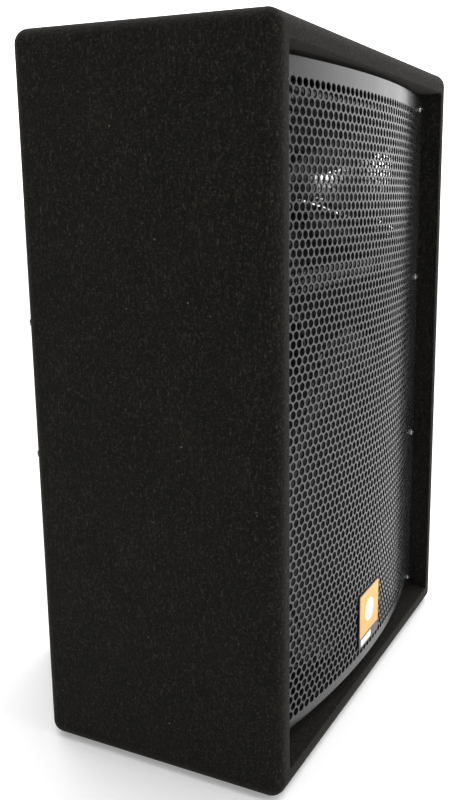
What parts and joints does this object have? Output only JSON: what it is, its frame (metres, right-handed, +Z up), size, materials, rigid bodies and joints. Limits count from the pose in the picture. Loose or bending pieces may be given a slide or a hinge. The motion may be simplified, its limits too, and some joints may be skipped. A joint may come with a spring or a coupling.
{
  "type": "stage monitor wedge",
  "caption": "Carpeted two-way stage monitor wedge with a bowed perforated steel grille, a woofer, a horn, a handle and a pole socket.",
  "frame": {"origin": "on the floor, under the middle of the whole box, with the cabinet standing on its woofer end", "axes": "+Z up along the long side; -Y is the way the grille faces; -X is the deep side panel, and the slanted base faces +X and +Y"},
  "size_m": [0.4, 0.3238, 0.584],
  "materials": {
    "carpet": "short-pile polypropylene cabinet carpet, black",
    "plywood": "bare plywood, seen only inside",
    "painted_board": "plywood with matt black paint",
    "grille_steel": "black semi-gloss powder coat on perforated steel",
    "black_screw": "black oxide",
    "badge_black": "gloss",
    "badge_orange": "gloss orange",
    "badge_pale": "pale, gloss",
    "black_steel": "black powder coat",
    "gasket": "closed-cell foam",
    "bare_steel": "zinc plated",
    "ferrite": "ferrite, ground faces",
    "coil_former": "thin former",
    "copper": "enamelled copper wire",
    "cone_paper": "black pulp, felted",
    "surround_cloth": "doped cloth",
    "spider_cloth": "corrugated cotton",
    "brass_terminal": "tinned",
    "horn_plastic": "black moulded, semi-gloss",
    "diaphragm_metal": "thin formed dome",
    "black_plastic": "textured black ABS",
    "socket_plastic": "black nylon",
    "wadding": "polyester fibre batt",
    "circuit_board": "solder mask",
    "capacitor_film": "taped film",
    "resistor_ceramic": "cement case",
    "lead_jacket": "soft PVC jacket",
    "handle_rubber": "ribbed grip",
    "foot_rubber": "moulded rubber"
  },
  "bodies": {
    "cabinet": {"back_panel": "plywood", "badge_face": "badge_orange", "badge_inlays": "badge_pale", "badge_plate": "badge_black", "baffle_battens": "plywood", "baffle_board": "painted_board", "base_panel": "plywood", "cabinet_brace": "plywood", "carpet_end_bottom": "carpet", "carpet_end_top": "carpet", "carpet_wrap": "carpet", "crossover_board": "circuit_board", "crossover_capacitors": "capacitor_film", "crossover_coils": "copper", "crossover_resistors": "resistor_ceramic", "crossover_standoffs": "black_plastic", "diaphragm_clamp_ring": "bare_steel", "diaphragm_surround": "surround_cloth", "dish_screws": "black_screw", "driver_front_plate": "bare_steel", "driver_magnet": "ferrite", "driver_rear_cap": "black_plastic", "driver_top_plate": "bare_steel", "end_panel_bottom": "plywood", "end_panel_top": "plywood", "feet_screws": "bare_steel", "fitting_screws": "black_screw", "grille": "grille_steel", "grille_screws": "black_screw", "handle_bar": "handle_rubber", "handle_cup": "black_plastic", "horn": "horn_plastic", "horn_screws": "black_screw", "input_dish": "black_plastic", "internal_leads": "lead_jacket", "jack_nuts": "bare_steel", "jack_sockets": "socket_plastic", "kick_panel": "plywood", "phase_plug": "horn_plastic", "pole_socket": "black_steel", "port_tubes": "black_plastic", "rubber_feet": "foot_rubber", "side_panel": "plywood", "speaker_socket": "socket_plastic", "wadding": "wadding", "woofer_frame": "black_steel", "woofer_gasket": "gasket", "woofer_magnet": "ferrite", "woofer_pole_piece": "bare_steel", "woofer_screws": "black_screw", "woofer_spider": "spider_cloth", "woofer_surround": "surround_cloth", "woofer_t_nuts": "bare_steel", "woofer_terminals": "brass_terminal", "woofer_top_plate": "bare_steel"},
    "woofer_moving": {"woofer_cone": "cone_paper", "dust_cap": "cone_paper", "voice_coil_former": "coil_former", "voice_coil_winding": "copper"},
    "driver_moving": {"driver_diaphragm": "diaphragm_metal"}
  },
  "joints": [
    {"name": "woofer_travel", "type": "slide", "parent": "cabinet", "child": "woofer_moving", "axis": [0, -1, 0], "range_m": [-0.005, 0.005], "stiffness_N_per_m": 3000, "deforming": ["woofer_surround", "woofer_spider"]},
    {"name": "driver_travel", "type": "slide", "parent": "cabinet", "child": "driver_moving", "axis": [0, -1, 0], "range_m": [-0.0003, 0.0003], "stiffness_N_per_m": 500, "deforming": ["diaphragm_surround"]}
  ]
}
